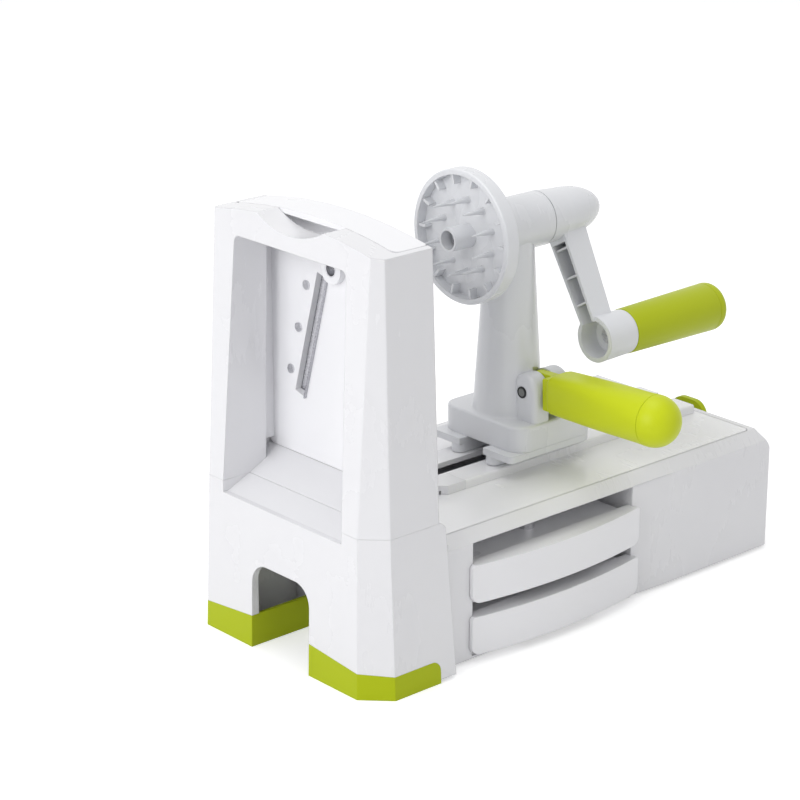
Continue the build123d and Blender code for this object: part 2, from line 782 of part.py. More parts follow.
# ---- Blade trays ---------------------------------------------------------------------------------
# A tray is built flat: X across it, Y from the crown of its band to its tail, Z through the band.
lean = math.radians(blade_lean)
blade_plane = Plane(origin=(0, core_setback, 0), x_dir=(-math.sin(lean), math.cos(lean), 0),
                    z_dir=(0, 0, 1))
blade_place = blade_plane.location    # X along the blade from the core, Y across it


def band_plan(half_length, inset, depth, z):
    """Face of the curved band: the tower's arch in front and a straight inner edge."""
    side = arch_drop(half_length) + inset
    outline = [ThreePointArc((-half_length, side, z), (0, inset, z), (half_length, side, z)),
               Line((half_length, side, z), (half_length, depth, z)),
               Line((half_length, depth, z), (-half_length, depth, z)),
               Line((-half_length, depth, z), (-half_length, side, z))]
    return make_face(outline)


def make_tray_frame():
    """Moulded tray: curved band, plate, two edge ribs, core ring and the throat under the blade."""
    up = (0, 0, 1)
    band = extrude(band_plan(band_half_length, 0, band_shoulder, 0), amount=band_width, dir=up)
    for front_side, radius in ((True, band_corner_radius), (False, band_rear_corner_radius)):
        ends = [e for e in band.edges().filter_by(Axis.Y)
                if (e.center().Z < band_width / 2) == front_side
                and abs(e.center().X) > band_half_length - cut_over]
        band = fillet(ends, radius)
    band += extrude(band_plan(band_neck, band_wall, band_depth, 0), amount=band_width, dir=up)
    hollow_half = band_neck - band_wall
    band -= extrude(band_plan(hollow_half, band_wall, band_depth + cut_over, band_wall),
                    amount=tray_plate_set - band_wall, dir=up)
    band -= box(-scoop_half_width, scoop_half_width, band_wall + band_lip, band_depth + cut_over,
                0, band_wall)

    plate = box(-tray_half_width, tray_half_width, band_depth - cut_over, tray_length,
                tray_plate_set, plate_face)
    plate = fillet(plate.edges().filter_by(Axis.Z).group_by(Axis.Y)[-1], tray_tail_radius)
    frame = band + plate
    for side in (-1, 1):
        edges = sorted((side * tray_half_width, side * (tray_half_width - tray_rib_width)))
        frame += box(edges[0], edges[1], band_depth - cut_over, tray_length - tray_tail_radius,
                     tray_rib_set, tray_plate_set)
    frame += rod_z(core_ring_set, plate_face, 0, core_setback, core_ring_radius)
    frame -= rod_z(core_ring_set, plate_face, 0, core_setback, core_tube_radius + fixed_gap)
    throat = box(throat_inner, throat_outer, throat_near, throat_far, core_ring_set, plate_face)
    frame -= blade_place * throat
    for place in rivet_places:
        hole = rod_z(tray_rib_set, plate_face, place, rivet_offset, rivet_radius + fixed_gap)
        frame -= blade_place * hole
    return frame.solid()


def make_blade():
    """Straight blade: a flat back that is riveted to the plate, and a raised cutting edge."""
    edge = blade_offset
    back = blade_offset + blade_width
    bend = blade_offset + blade_bend
    top = plate_face + blade_thickness
    section = [(back, plate_face), (back, top), (bend, top), (edge, plate_face + blade_rise),
               (edge, plate_face + blade_rise - blade_edge), (bend, plate_face)]
    blade = slab_x(section, blade_inner, blade_outer)
    for place in rivet_places:
        blade -= rod_z(plate_face, top, place, rivet_offset, rivet_radius + fixed_gap)
    return (blade_place * blade).solid()


def make_comb(pitch):
    """Toothed strip that stands on the throat's edge, with teeth at the given pitch."""
    start, end = throat_inner + fixed_gap, throat_outer - fixed_gap
    root = plate_face - comb_root
    count = int((end - start) // pitch)
    margin = (end - start - count * pitch) / 2
    outline = [(start, root), (start, plate_face)]
    for tooth in range(count):
        middle = start + margin + (tooth + 0.5) * pitch
        outline += [(middle - comb_tooth / 2 + fixed_gap, plate_face), (middle, plate_face + comb_height),
                    (middle + comb_tooth / 2 - fixed_gap, plate_face)]
    outline += [(end, plate_face), (end, root)]
    return (blade_place * slab_y(outline, throat_near, throat_near + comb_thickness)).solid()


def make_core_tube():
    """Steel tube that cuts out the food's core, held in the tray's ring."""
    top = plate_face + core_tube_rise
    tube = rod_z(core_ring_set, top, 0, core_setback, core_tube_radius)
    return tube - rod_z(core_ring_set, top, 0, core_setback, core_tube_bore)


def make_rivets():
    """Three rivets that hold the blade to the plate."""
    low, top = tray_plate_set, plate_face + blade_thickness
    group = []
    for place in rivet_places:
        rivet = rod_z(low - rivet_head_height, top + rivet_head_height, place, rivet_offset, rivet_radius)
        rivet += rod_z(low - rivet_head_height, low, place, rivet_offset, rivet_head_radius)
        rivet += rod_z(top, top + rivet_head_height, place, rivet_offset, rivet_head_radius)
        group.append(blade_place * rivet)
    return group


# ---- Carriage ------------------------------------------------------------------------------------
def carriage_screw_places():
    """Where the slider is screwed to the carriage."""
    inset = carriage_screw_inset
    return [(x, side * (carriage_half_width - inset))
            for x in (carriage_front + inset, carriage_rear - inset) for side in (-1, 1)]


def make_column():
    """Carriage body: a hollow block, the tapered column, the bearing barrel and two hinge lugs."""
    block = rounded_box(carriage_front, carriage_rear, carriage_half_width, slider_top, carriage_top,
                        carriage_corner_radius)
    block = fillet(block.edges().group_by(Axis.Z)[-1], carriage_edge_radius)
    top_radius = column_foot_radius - column_taper * (crank_axis_z - carriage_top)
    body = block + cone_z(carriage_top, crank_axis_z, column_x, 0, column_foot_radius, top_radius)
    foot_round = 2 * math.pi * column_foot_radius
    foot_edge = body.edges().filter_by(lambda e: abs(e.center().Z - carriage_top) < near
                                       and abs(e.length - foot_round) < near)
    body = fillet(foot_edge, column_fillet)
    barrel = rod_x(barrel_front, barrel_rear, 0, crank_axis_z, barrel_radius)
    body += barrel
    body -= rounded_box(carriage_front + carriage_wall, carriage_rear - carriage_wall,
                        carriage_half_width - carriage_wall, slider_top - cut_over,
                        carriage_top - carriage_wall, carriage_corner_radius - carriage_wall)
    hollow_top = crank_axis_z - barrel_radius - column_wall
    high_radius = column_foot_radius - column_wall - column_taper * (hollow_top - carriage_top)
    low = carriage_top - carriage_wall - cut_over
    hollow = cone_z(low, hollow_top, column_x, 0, column_foot_radius - column_wall, high_radius)
    body -= rod_x(barrel_front, barrel_rear, 0, crank_axis_z, bush_radius + fixed_gap)
    for x0, x1 in ((barrel_front, barrel_front + bush_flange), (barrel_rear - bush_flange, barrel_rear)):
        body -= rod_x(x0, x1, 0, crank_axis_z, bush_flange_radius + fixed_gap)
    for x, y in carriage_screw_places():
        body += rod_z(slider_top, carriage_top - carriage_wall, x, y, carriage_boss_radius)
        body -= rod_z(slider_top, carriage_top - carriage_wall, x, y, screw_radius)

    # Two lugs for the push handle, with rounded edges.
    for side in (-1, 1):
        inner = handle_x + side * (tongue_thickness / 2 + loose_gap)
        x0, x1 = sorted((inner, inner + side * lug_thickness))
        lug = rod_x(x0, x1, pivot_y, pivot_z, lug_radius)
        lug += box(x0, x1, pivot_y - lug_radius, pivot_y + lug_radius, carriage_top - cut_over,
                   pivot_z)
        outer_face = lug.faces().sort_by(Axis.X)[0 if side < 0 else -1]
        rounded = [e for e in outer_face.edges() if e.center().Z > carriage_top]
        lug = fillet(rounded, lug_edge_radius)
        body += lug
    reach = tongue_thickness / 2 + loose_gap + lug_thickness
    body -= rod_x(handle_x - reach, handle_x + reach, pivot_y, pivot_z, handle_pin_radius + fixed_gap)
    room = tongue_thickness / 2 + loose_gap
    swing_radius = tongue_radius + loose_gap
    body -= rod_x(handle_x - room, handle_x + room, pivot_y, pivot_z, swing_radius)
    raised = box(0, 2 * swing_radius, -room, room, -swing_radius, swing_radius)
    body -= raise_handle(raised, handle_pitch + handle_fold_limit)
    hollow -= box(handle_x - room - pocket_wall, handle_x + room + pocket_wall, -column_foot_radius,
                  pivot_y + swing_radius + pocket_wall, low, pivot_z + 2 * swing_radius)
    return (body - hollow).solid()


def make_slider():
    """Slider: a plate with a notched front, two runners on the track and a stem through its slot."""
    plate = box(slider_front, carriage_rear, -carriage_half_width, carriage_half_width,
                slider_low, slider_top)
    plate = fillet(plate.edges().filter_by(Axis.Z).group_by(Axis.X)[0], slider_corner_radius)
    plate = fillet(plate.edges().filter_by(Axis.Z).group_by(Axis.X)[-1], carriage_corner_radius)
    notch_half = runner_inner
    slider = plate - box(slider_front, slider_front + notch_length, -notch_half, notch_half,
                         slider_low, slider_top)
    for side in (-1, 1):
        edges = sorted((side * runner_inner, side * (runner_inner + runner_width)))
        runner = box(slider_front, carriage_rear - carriage_corner_radius, edges[0], edges[1],
                     runner_low, slider_low)
        slider += fillet(runner.edges().filter_by(Axis.Z), runner_width / 2 - loose_gap)
    slider += box(stem_front, stem_rear, -stem_half_width, stem_half_width, keeper_top, slider_low)
    slider += box(stem_front, stem_rear, -runner_inner, runner_inner, runner_low + loose_gap, slider_low)
    for x, y in carriage_screw_places():
        slider -= rod_z(slider_low, slider_top, x, y, screw_radius + fixed_gap)
    for x in (stem_front + keeper_screw_inset, stem_rear - keeper_screw_inset):
        slider -= rod_z(keeper_top, slider_low, x, 0, screw_radius)
    return slider.solid()


def make_keeper():
    """Keeper plate under the track that holds the carriage down."""
    keeper = rounded_box(stem_front, stem_rear, keeper_half_width, keeper_low, keeper_top,
                         slider_corner_radius)
    for x in (stem_front + keeper_screw_inset, stem_rear - keeper_screw_inset):
        keeper -= rod_z(keeper_low, keeper_top, x, 0, screw_radius + fixed_gap)
        keeper -= rod_z(keeper_low, keeper_low + screw_head_height, x, 0,
                        screw_head_radius + screw_pocket_gap)
    return keeper.solid()


def make_keeper_screws():
    """Two screws that hold the keeper to the stem."""
    return [screw_z(keeper_low, slider_low - cut_over, x, 0, False)
            for x in (stem_front + keeper_screw_inset, stem_rear - keeper_screw_inset)]


def make_carriage_screws():
    """Four screws that hold the slider to the carriage body."""
    low = slider_low - screw_head_height
    return [screw_z(low, carriage_top - carriage_wall - cut_over, x, y, False)
            for x, y in carriage_screw_places()]


def make_bush(outer_end, direction):
    """Flanged bearing bush; its flange is at outer_end and it runs in the given direction."""
    x0, x1 = sorted((outer_end, outer_end + direction * bush_length))
    f0, f1 = sorted((outer_end, outer_end + direction * bush_flange))
    bush = rod_x(x0, x1, 0, crank_axis_z, bush_radius)
    bush += rod_x(f0, f1, 0, crank_axis_z, bush_flange_radius)
    return (bush - rod_x(x0, x1, 0, crank_axis_z, bush_bore)).solid()


def make_handle_pin():
    """Steel hinge pin of the push handle, with a low head at each end."""
    reach = tongue_thickness / 2 + loose_gap + lug_thickness
    x0, x1 = handle_x - reach, handle_x + reach
    pin = rod_x(x0 - pin_head_height, x1 + pin_head_height, pivot_y, pivot_z, handle_pin_radius)
    pin += rod_x(x0 - pin_head_height, x0, pivot_y, pivot_z, pin_head_radius)
    return pin + rod_x(x1, x1 + pin_head_height, pivot_y, pivot_z, pin_head_radius)


# ---- Crank and food holder -----------------------------------------------------------------------
def make_holder():
    """Food holder: a rimmed disc with inner fins, a ring of spikes and a centre tube."""
    z = crank_axis_z
    rim = rod_x(holder_front, holder_rear, 0, z, holder_radius)
    rim = fillet(rim.edges(), holder_edge_radius)
    plate_front = holder_rear - holder_plate
    holder = rim - rod_x(holder_front, plate_front, 0, z, holder_radius - holder_rim)
    fin_outer = holder_radius - holder_rim / 2
    for index in range(fin_count):
        fin = box(holder_front + holder_edge_radius, plate_front + cut_over, -fin_thickness / 2,
                  fin_thickness / 2, fin_outer - fin_reach - holder_rim / 2, fin_outer)
        holder += Pos(0, 0, z) * Rot(360 * (index + 0.5) / fin_count, 0, 0) * fin
    for index in range(spike_count):
        spike = cone_x(spike_front, plate_front + cut_over, 0, spike_circle_radius,
                       spike_tip_radius, spike_radius)
        holder += Pos(0, 0, z) * Rot(360 * index / spike_count, 0, 0) * spike
    holder += rod_x(spike_front, plate_front + cut_over, 0, z, holder_tube_radius)
    boss_end = barrel_front - washer_thickness - 2 * washer_gap
    holder += rod_x(plate_front, boss_end, 0, z, holder_boss_radius)
    holder -= rod_x(spike_front, plate_front, 0, z, holder_tube_bore)
    holder -= rod_x(plate_front, boss_end, 0, z, shaft_radius + fixed_gap)
    return holder.solid()


def make_washer():
    """Thrust washer between the food holder and the barrel."""
    rear = barrel_front - washer_gap
    washer = rod_x(rear - washer_thickness, rear, 0, crank_axis_z, washer_radius)
    return washer - rod_x(rear - washer_thickness, rear, 0, crank_axis_z, shaft_radius + fixed_gap)


def make_shaft():
    """Steel crank shaft, with a threaded bore for the holder's screw in its front end."""
    shaft = rod_x(shaft_front, shaft_rear, 0, crank_axis_z, shaft_radius)
    return shaft - rod_x(shaft_front, holder_rear, 0, crank_axis_z, screw_radius + fixed_gap)


def make_holder_screw():
    """Screw that keeps the food holder on the shaft."""
    screw = rod_x(shaft_front, holder_rear - cut_over, 0, crank_axis_z, screw_radius)
    head_front = shaft_front - screw_head_height
    return screw + rod_x(head_front, shaft_front, 0, crank_axis_z, shaft_radius + fixed_gap)


def swing(piece):
    """Turn a piece of the downward crank to the angle that it rests at."""
    return Pos(0, 0, crank_axis_z) * Rot(-crank_rest_angle, 0, 0) * Pos(0, 0, -crank_axis_z) * piece


def arm_block(inset, front_inset, back_inset, top_drop, bottom_drop):
    """The tapered bar of the arm between two distances below the axis, with its walls moved in."""
    plans = []
    for drop in (top_drop, bottom_drop):
        share = drop / crank_radius
        depth = arm_root_depth + (arm_tip_depth - arm_root_depth) * share
        half = arm_root_half_width + (arm_tip_half_width - arm_root_half_width) * share - inset
        front, back = arm_front + front_inset, arm_front + depth - back_inset
        plans.append([(front, -half), (back, -half), (back, half), (front, half)])
    return ruled_between(plans[1], crank_axis_z - bottom_drop, plans[0], crank_axis_z - top_drop)


def make_crank_arm():
    """Crank: a bullet-shaped hub, a ribbed arm that is hollow towards the front, and a grip boss."""
    nose_length = hub_rear - hub_nose_start
    nose = EllipticalCenterArc((hub_nose_start, 0), nose_length, hub_nose_radius, 0, arc_size=90)
    outline = [Line((hub_front, 0), (hub_front, hub_radius)),
               Line((hub_front, hub_radius), (hub_nose_start, hub_nose_radius)),
               nose, Line((hub_rear, 0), (hub_front, 0))]
    hub = turned_x(outline, crank_axis_z)
    boss_z = crank_axis_z - crank_radius
    boss = cone_x(boss_front, boss_rear, 0, boss_z, boss_radius, boss_rear_radius)
    arm = hub + boss + arm_block(0, 0, 0, hub_radius / 2, crank_radius)

    # Keyhole pocket that faces the front: the arm's channel, its ribs and the round end.
    channel = arm_block(arm_wall, -cut_over, arm_wall, hub_radius + arm_wall, crank_radius)
    for drop in arm_rib_places:
        z = crank_axis_z - drop
        channel -= box(arm_front + cut_over, arm_front + arm_root_depth, -arm_root_half_width,
                       arm_root_half_width, z - arm_rib_thickness / 2, z + arm_rib_thickness / 2)
    arm -= channel
    arm -= rod_x(arm_front - cut_over, boss_back, 0, boss_z, boss_pocket_radius)
    arm -= rod_x(boss_back, boss_rear, 0, boss_z, spindle_radius + fixed_gap)
    arm -= rod_x(hub_front, shaft_rear, 0, crank_axis_z, shaft_radius + fixed_gap)
    return swing(arm.solid())


def make_spindle():
    """Steel spindle of the grip, headed at both ends."""
    z = crank_axis_z - crank_radius
    end = grip_seam - loose_gap
    spindle = rod_x(boss_back - spindle_head_height, end, 0, z, spindle_radius)
    spindle += rod_x(boss_back - spindle_head_height, boss_back, 0, z, spindle_head_radius)
    spindle += rod_x(end - spindle_head_height, end, 0, z, spindle_head_radius)
    return swing(spindle)


def make_grip():
    """Turning grip of the crank, with a counterbore for the spindle's end head."""
    z = crank_axis_z - crank_radius
    grip = cone_x(grip_front, grip_seam, 0, z, grip_radius, grip_end_radius)
    grip -= rod_x(grip_front, grip_seam, 0, z, spindle_radius + running_gap)
    head_room = grip_seam - 2 * loose_gap - spindle_head_height
    grip -= rod_x(head_room, grip_seam, 0, z, spindle_head_radius + loose_gap)
    return swing(grip.solid())


def make_grip_cap():
    """Domed end cap of the crank's grip."""
    z = crank_axis_z - crank_radius
    cap = rod_x(grip_seam, grip_seam + grip_cap_length, 0, z, grip_end_radius)
    cap = fillet(cap.edges().group_by(Axis.X)[-1], grip_cap_edge)
    return swing(cap.solid())


# ---- Push handle ---------------------------------------------------------------------------------
def raise_handle(piece, pitch):
    """Move a piece that is built along X from the pivot to the handle's place, at a pitch."""
    return Pos(handle_x, pivot_y, pivot_z) * Rot(-pitch, 0, 0) * Rot(0, 0, -90) * piece


def make_push_handle():
    """Push handle: a grip with four flats at its root, a neck and a tongue between the lugs."""
    body = cone_x(handle_root, handle_seam, 0, 0, handle_root_radius, handle_seam_radius)
    squares = [[(-half, -half), (half, -half), (half, half), (-half, half)]
               for half in (handle_root_half, handle_seam_radius)]
    body &= Rot(0, 90, 0) * ruled_between(squares[0], handle_root, squares[1], handle_seam)
    body = chamfer(body.edges().group_by(Axis.X)[0], handle_root_edge)
    body += box(handle_neck, handle_root + cut_over, -handle_neck_half, handle_neck_half,
                -tongue_radius, tongue_radius)
    half = tongue_thickness / 2
    tongue = rod_y(-half, half, 0, 0, tongue_radius)
    tongue += box(0, handle_root + handle_root_edge, -half, half, -tongue_radius, tongue_radius)
    body += tongue
    body -= rod_y(-half, half, 0, 0, handle_pin_radius + running_gap)
    body -= rod_x(2 * handle_root, handle_seam, 0, 0, handle_cavity_radius)
    return raise_handle(body.solid(), handle_pitch)


def make_handle_cap():
    """Domed end of the push handle, with a plug that sits in its hollow."""
    shoulder = handle_end - handle_dome
    dome = EllipticalCenterArc((shoulder, 0), handle_dome, handle_seam_radius, 0, arc_size=90)
    plug = handle_seam - handle_plug
    plug_radius = handle_cavity_radius - fixed_gap
    corners = [(handle_end, 0), (plug, 0), (plug, plug_radius), (handle_seam, plug_radius),
               (handle_seam, handle_seam_radius), (shoulder, handle_seam_radius)]
    outline = [Line(a, b) for a, b in zip(corners, corners[1:])] + [dome]
    return raise_handle(turned_x(outline, 0).solid(), handle_pitch)


# ---- Suction foot --------------------------------------------------------------------------------
def make_cup():
    """Soft suction cup: a shallow cone with a boss on top."""
    outline = [(0, cup_crown_height), (cup_boss_radius - cup_lip, cup_crown_height),
               (cup_radius - cup_contact, 0), (cup_radius, 0), (cup_radius, cup_lip),
               (cup_boss_radius, cup_shoulder_height), (cup_boss_radius, cup_boss_height),
               (0, cup_boss_height)]
    face = make_face(Polyline(*[(r, 0, z) for r, z in outline], close=True))
    return Pos(cup_x, 0, 0) * revolve(face, axis=Axis.Z)


def make_suction_rod():
    """Rod that pulls the cup up, with a fork for the lever."""
    rod = rod_z(cup_boss_height, rod_top, cup_x, 0, rod_radius)
    half = yoke_length / 2
    rod += box(cup_x - half, cup_x + half, -yoke_half_width, yoke_half_width, rod_top, yoke_top)
    fork_half = lever_half_thickness + loose_gap
    rod -= box(cup_x - half, cup_x + half, -fork_half, fork_half, fork_floor, yoke_top)
    rod -= rod_y(-yoke_half_width, yoke_half_width, cup_x, lever_pivot_z, follower_pin_radius + fixed_gap)
    return rod.solid()


def make_rod_pin():
    """Follower pin across the rod's fork."""
    return rod_y(-yoke_half_width, yoke_half_width, cup_x, lever_pivot_z, follower_pin_radius)


def make_lever_pin():
    """Pin that the suction lever turns on."""
    reach = yoke_half_width + loose_gap + cheek_thickness
    return rod_y(-reach, reach, lever_pivot_x, lever_pivot_z, lever_pin_radius)


def make_suction_lever():
    """Suction lever: an eye on the follower pin, a hub, an arm through the rear slot and a thumb tab."""
    half = lever_half_thickness
    z = lever_pivot_z
    lever = rod_y(-half, half, cup_x, z, lever_eye_radius)
    lever += box(cup_x, lever_pivot_x, -half, half, z - lever_hub_radius, z + lever_hub_radius)
    hub_half = yoke_half_width
    lever += rod_y(-hub_half, hub_half, lever_pivot_x, z, lever_hub_radius)
    reach = lever_tab_front + lever_tab_thickness / 2
    thick = lever_arm_half_height
    lever += slab_y([(lever_pivot_x, z - thick), (reach, lever_arm_end_z - thick),
                     (reach, lever_arm_end_z + thick), (lever_pivot_x, z + thick)], -half, half)
    tab = box(lever_tab_front, lever_tab_front + lever_tab_thickness, -lever_tab_half_width,
              lever_tab_half_width, lever_tab_low, lever_tab_top)
    tab = fillet(tab.edges().filter_by(Axis.X).group_by(Axis.Z)[-1], lever_tab_radius)
    lever += tab
    lever -= rod_y(-hub_half, hub_half, lever_pivot_x, z, lever_pin_radius + running_gap)
    slot_half_height = follower_pin_radius + follower_gap
    lever -= rod_y(-half, half, cup_x, z, slot_half_height)
    lever -= rod_y(-half, half, cup_x - follower_play, z, slot_half_height)
    lever -= box(cup_x - follower_play, cup_x, -half, half, z - slot_half_height, z + slot_half_height)
    return lever.solid()


# ---- All pieces ----------------------------------------------------------------------------------
nodes = {
    "base_housing": [make_housing()],
    "base_bottom_cover": [make_bottom_cover()],
    "cover_screws": make_cover_screws(),
    "deck_panel": [make_deck()],
    "front_stop": [make_front_stop()],
    "near_foot_shoe": [make_shoe(-1)],
    "far_foot_shoe": [make_shoe(1)],
    "rear_feet": make_rear_feet(),
    "tower_frame": [make_tower()],
    "tower_screws": make_tower_screws(),
    "suction_cup": [make_cup()],
    "lever_pin": [make_lever_pin()],
    "suction_rod": [make_suction_rod()],
    "rod_pin": [make_rod_pin()],
    "suction_lever": [make_suction_lever()],
    "carriage_column": [make_column()],
    "carriage_slider": [make_slider()],
    "slider_keeper": [make_keeper()],
    "carriage_screws": make_carriage_screws(),
    "keeper_screws": make_keeper_screws(),
    "front_bush": [make_bush(barrel_front, 1)],
    "rear_bush": [make_bush(barrel_rear, -1)],
    "handle_pin": [make_handle_pin()],
    "crank_shaft": [make_shaft()],
    "food_holder": [make_holder()],
    "holder_screw": [make_holder_screw()],
    "thrust_washer": [make_washer()],
    "crank_arm": [make_crank_arm()],
    "grip_spindle": [make_spindle()],
    "crank_grip": [make_grip()],
    "grip_end_cap": [make_grip_cap()],
    "push_handle": [make_push_handle()],
    "handle_end_cap": [make_handle_cap()],
}

fitted_place = Plane(origin=(band_front_x, 0, tower_crown_height), x_dir=(0, -1, 0), z_dir=(1, 0, 0)).location
tray_places = {
    "fitted": (fitted_place, fine_pitch),
    "upper": (Pos(tray_centre_x, tray_front_y, upper_tray_z), coarse_pitch),
    "lower": (Pos(tray_centre_x, tray_front_y, lower_tray_z), None),
}
for tray, (place, pitch) in tray_places.items():
    pieces = {"tray": [make_tray_frame()], "blade": [make_blade()], "core_tube": [make_core_tube()],
              "rivets": make_rivets()}
    if pitch:
        pieces["comb"] = [make_comb(pitch)]
    for name, solids in pieces.items():
        nodes[f"{tray}_{name}"] = [place * solid for solid in solids]

everything = Compound([solid for solids in nodes.values() for solid in solids])
bounds = everything.bounding_box()
shift = Pos(-bounds.center().X, -bounds.center().Y, -bounds.min.Z)
os.makedirs("parts", exist_ok=True)
for name, solids in nodes.items():
    moved = [shift * solid for solid in solids]
    export_step(moved[0] if len(moved) == 1 else Compound(moved), f"parts/{name}.step")
print("shift", [round(value, 4) for value in shift.position])
print("size", [round(value, 3) for value in bounds.size])
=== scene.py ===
import math

import bmesh
import bpy
import numpy as np
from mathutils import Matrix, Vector


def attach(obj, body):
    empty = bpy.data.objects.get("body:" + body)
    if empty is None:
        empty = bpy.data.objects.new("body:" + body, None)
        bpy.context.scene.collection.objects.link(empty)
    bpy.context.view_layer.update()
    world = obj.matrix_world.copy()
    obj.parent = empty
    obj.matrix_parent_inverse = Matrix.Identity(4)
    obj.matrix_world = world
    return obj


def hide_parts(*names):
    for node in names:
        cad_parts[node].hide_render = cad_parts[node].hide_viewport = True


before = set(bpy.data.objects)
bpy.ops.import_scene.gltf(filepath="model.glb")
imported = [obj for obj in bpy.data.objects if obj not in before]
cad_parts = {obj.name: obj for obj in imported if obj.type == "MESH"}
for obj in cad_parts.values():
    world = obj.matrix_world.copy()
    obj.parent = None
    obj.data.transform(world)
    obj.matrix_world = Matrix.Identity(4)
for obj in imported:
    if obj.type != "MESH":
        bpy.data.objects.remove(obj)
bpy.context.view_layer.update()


# ---- Room ----------------------------------------------------------------------------------------
# A pale sheet that the spiralizer stands on, and a white surround. The camera sees white past the
# sheet, and gloss and glass see that white too, while the sheet keeps the spiralizer's shadow.
def light_seen(tree):
    """1 on rays from the camera or off gloss and glass, 0 on those that only light things."""
    path = tree.nodes.new("ShaderNodeLightPath")
    total = None
    for ray in ("Is Camera Ray", "Is Glossy Ray", "Is Transmission Ray"):
        if total is None:
            total = path.outputs[ray]
            continue
        add = tree.nodes.new("ShaderNodeMath")
        add.operation = "MAXIMUM"
        tree.links.new(total, add.inputs[0])
        tree.links.new(path.outputs[ray], add.inputs[1])
        total = add.outputs[0]
    return total


world = bpy.data.worlds.new("white_surround")
bpy.context.scene.world = world
world.use_nodes = True
background = world.node_tree.nodes["Background"]
background.inputs["Color"].default_value = (1.0, 1.0, 1.0, 1.0)
strength = world.node_tree.nodes.new("ShaderNodeMapRange")
light_on_object, white_seen = 0.56, 1.0
strength.inputs["To Min"].default_value = light_on_object
strength.inputs["To Max"].default_value = white_seen
world.node_tree.links.new(light_seen(world.node_tree), strength.inputs["Value"])
world.node_tree.links.new(strength.outputs[0], background.inputs["Strength"])

floor_mesh = bpy.data.meshes.new("floor")
reach = 6.0
floor_mesh.from_pydata([(-reach, -reach, 0), (reach, -reach, 0), (reach, reach, 0), (-reach, reach, 0)],
                       [], [(0, 1, 2, 3)])
floor = bpy.data.objects.new("floor", floor_mesh)
bpy.context.collection.objects.link(floor)
paper = bpy.data.materials.new("white_paper")
paper.use_nodes = True
shader = paper.node_tree.nodes["Principled BSDF"]
shader.inputs["Base Color"].default_value = (0.80, 0.80, 0.81, 1.0)
shader.inputs["Roughness"].default_value = 0.9
shader.inputs["Specular IOR Level"].default_value = 0.1
shader.inputs["Emission Color"].default_value = (1.0, 1.0, 1.0, 1.0)
glow_seen = 0.455
glow = paper.node_tree.nodes.new("ShaderNodeMapRange")
glow.inputs["To Max"].default_value = glow_seen
paper.node_tree.links.new(light_seen(paper.node_tree), glow.inputs["Value"])
paper.node_tree.links.new(glow.outputs[0], shader.inputs["Emission Strength"])
floor_mesh.materials.append(paper)


def softbox(name, place, aim, width, height, power):
    """A rectangular lamp at a place, turned to face a point."""
    lamp = bpy.data.lights.new(name, "AREA")
    lamp.shape = "RECTANGLE"
    lamp.size, lamp.size_y, lamp.energy = width, height, power
    holder = bpy.data.objects.new(name, lamp)
    holder.location = place
    holder.rotation_euler = (Vector(aim) - Vector(place)).to_track_quat("-Z", "Y").to_euler()
    bpy.context.collection.objects.link(holder)


softbox("front_softbox", (-1.7, -0.1, 0.85), (0.0, 0.0, 0.12), 1.2, 1.0, 13.5)
softbox("overhead_softbox", (-0.1, 0.2, 1.7), (0.0, 0.0, 0.1), 1.4, 1.2, 9.5)
softbox("near_softbox", (0.5, -1.7, 0.8), (0.0, 0.0, 0.1), 1.0, 0.8, 2.0)


# ---- Camera --------------------------------------------------------------------------------------
# The photograph's viewpoint, worked out from the straight edges and circles of the object.
camera_data = bpy.data.cameras.new("camera")
camera_data.sensor_width = 36.0
camera_data.lens = 117.0
camera = bpy.data.objects.new("camera", camera_data)
camera.location = (-0.9545, -0.96858, 0.6001)
camera_yaw, camera_pitch = math.radians(48.398), math.radians(19.597)
sight = Vector((math.cos(camera_yaw) * math.cos(camera_pitch),
                math.sin(camera_yaw) * math.cos(camera_pitch), -math.sin(camera_pitch)))
camera.rotation_euler = sight.to_track_quat("-Z", "Y").to_euler()
bpy.context.collection.objects.link(camera)
bpy.context.scene.camera = camera
bpy.context.scene.view_settings.view_transform = "Standard"


# ---- Base housing and deck -----------------------------------------------------------------------
# The long base is one moulding in glossy white ABS, with a deck panel and its track let into the top
# and a cover screwed on below. The skin has a faint orange peel, a slow mottle where the plastic
# flowed, and hair-fine wiping marks.
def node_group(name, inputs, outputs):
    """A new shader group with named sockets: returns the group and its two end nodes."""
    group = bpy.data.node_groups.new(name, "ShaderNodeTree")
    for label, kind, value in inputs:
        socket = group.interface.new_socket(label, in_out="INPUT", socket_type="NodeSocket" + kind)
        if value is not None:
            socket.default_value = value
    for label, kind in outputs:
        group.interface.new_socket(label, in_out="OUTPUT", socket_type="NodeSocket" + kind)
    return group, group.nodes.new("NodeGroupInput"), group.nodes.new("NodeGroupOutput")


def noise(tree, vector, scale, detail=2.0, roughness=0.5):
    """A noise texture on a vector, with its scale in cycles per metre."""
    node = tree.nodes.new("ShaderNodeTexNoise")
    node.inputs["Scale"].default_value = scale
    node.inputs["Detail"].default_value = detail
    node.inputs["Roughness"].default_value = roughness
    tree.links.new(vector, node.inputs["Vector"])
    return node.outputs["Fac"]


def remap(tree, value, low, high, to_low, to_high):
    """A value stretched from one range to another, and held inside it."""
    node = tree.nodes.new("ShaderNodeMapRange")
    for label, number in (("From Min", low), ("From Max", high), ("To Min", to_low), ("To Max", to_high)):
        node.inputs[label].default_value = number
    tree.links.new(value, node.inputs["Value"])
    return node.outputs["Result"]


def stretched(tree, vector, scale):
    """A vector scaled by a different amount on each axis."""
    node = tree.nodes.new("ShaderNodeMapping")
    node.inputs["Scale"].default_value = scale
    tree.links.new(vector, node.inputs["Vector"])
    return node.outputs["Vector"]


